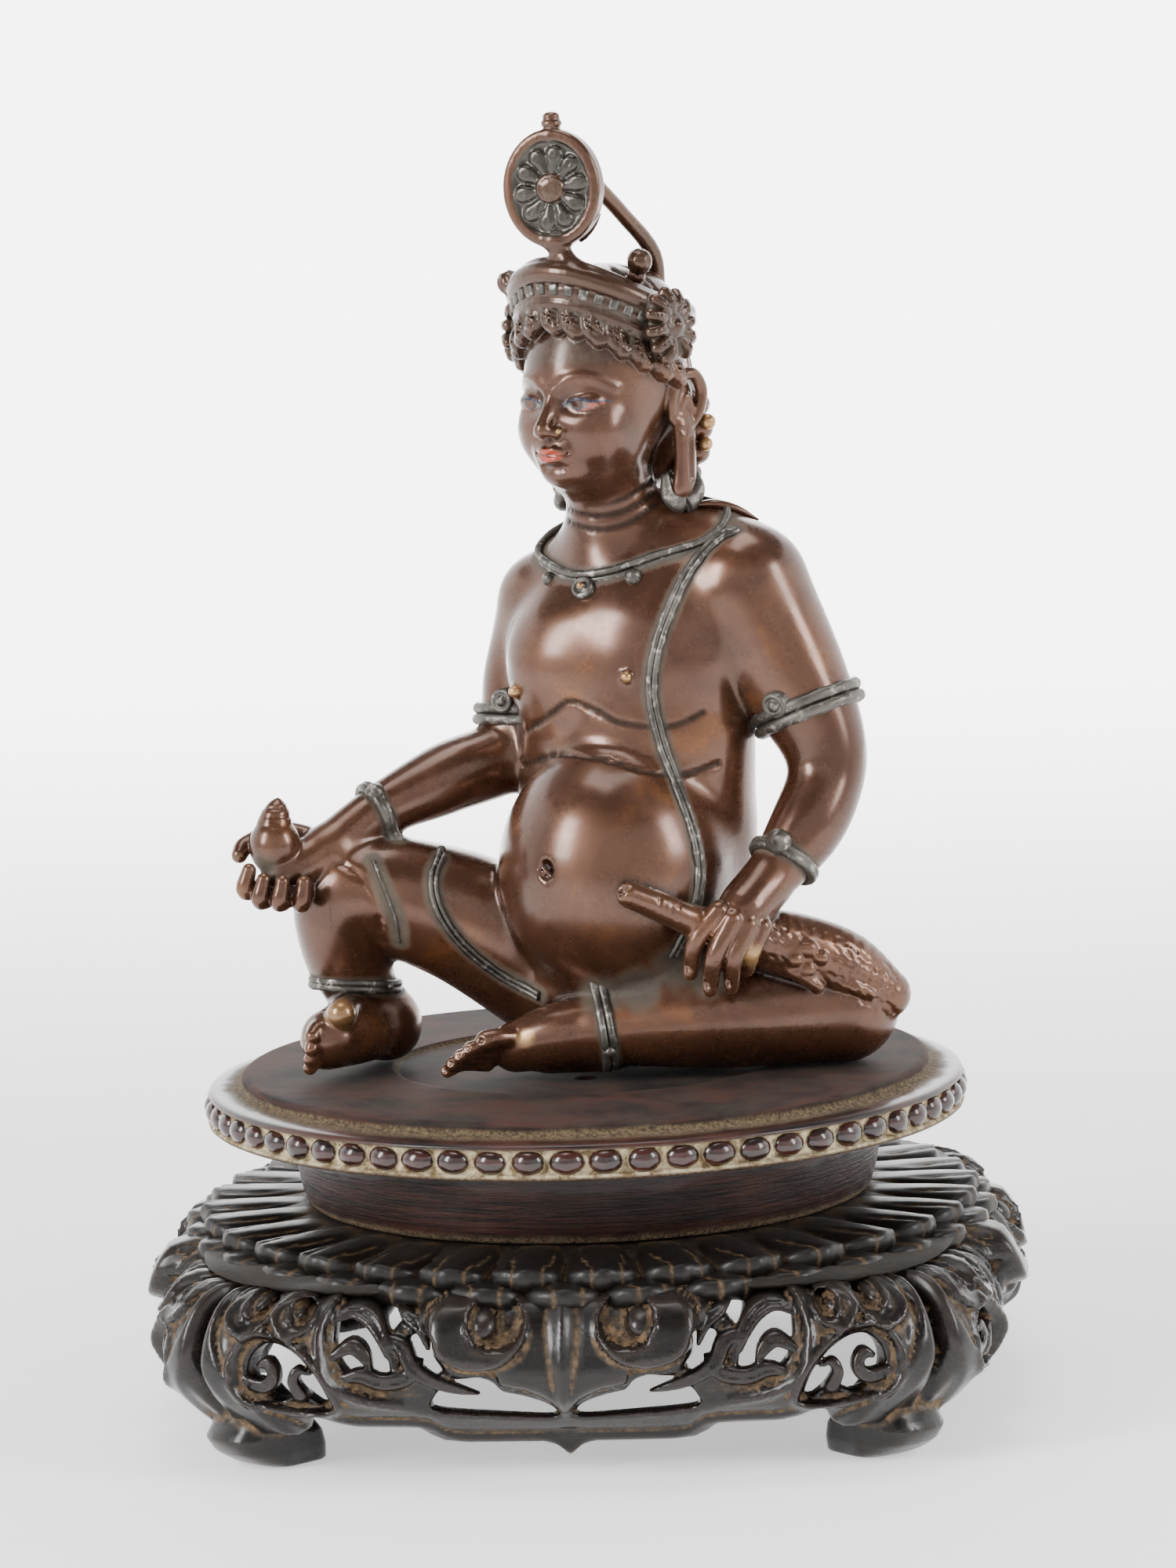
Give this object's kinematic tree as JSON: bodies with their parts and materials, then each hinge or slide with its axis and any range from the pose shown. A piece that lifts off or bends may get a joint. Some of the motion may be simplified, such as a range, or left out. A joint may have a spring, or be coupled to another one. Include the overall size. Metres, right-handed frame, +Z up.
{
  "type": "bronze kubera figure on wooden stand",
  "caption": "Seated, pot-bellied bronze deity with crown, disc finial, fruit and mongoose, on a beaded turned disc and a pierced, carved wooden base.",
  "frame": {"origin": "on the ground under the middle of the stand", "axes": "+Z up; -Y out through the middle of the base's front apron; +X to the right as seen from the front"},
  "size_m": [0.155, 0.155, 0.2342],
  "materials": {
    "patinated_bronze": "plum-brown patina, worn to warm copper on high places, silvered ornaments, dust in the hollows",
    "turned_hardwood": "dark red polished hardwood, cream gesso between the rim beads",
    "carved_blackwood": "blackened and rubbed, with tan dust in the carving"
  },
  "bodies": {
    "root": {"bronze_figure": "patinated_bronze", "stand_top": "turned_hardwood", "stand_base": "carved_blackwood"}
  },
  "joints": []
}
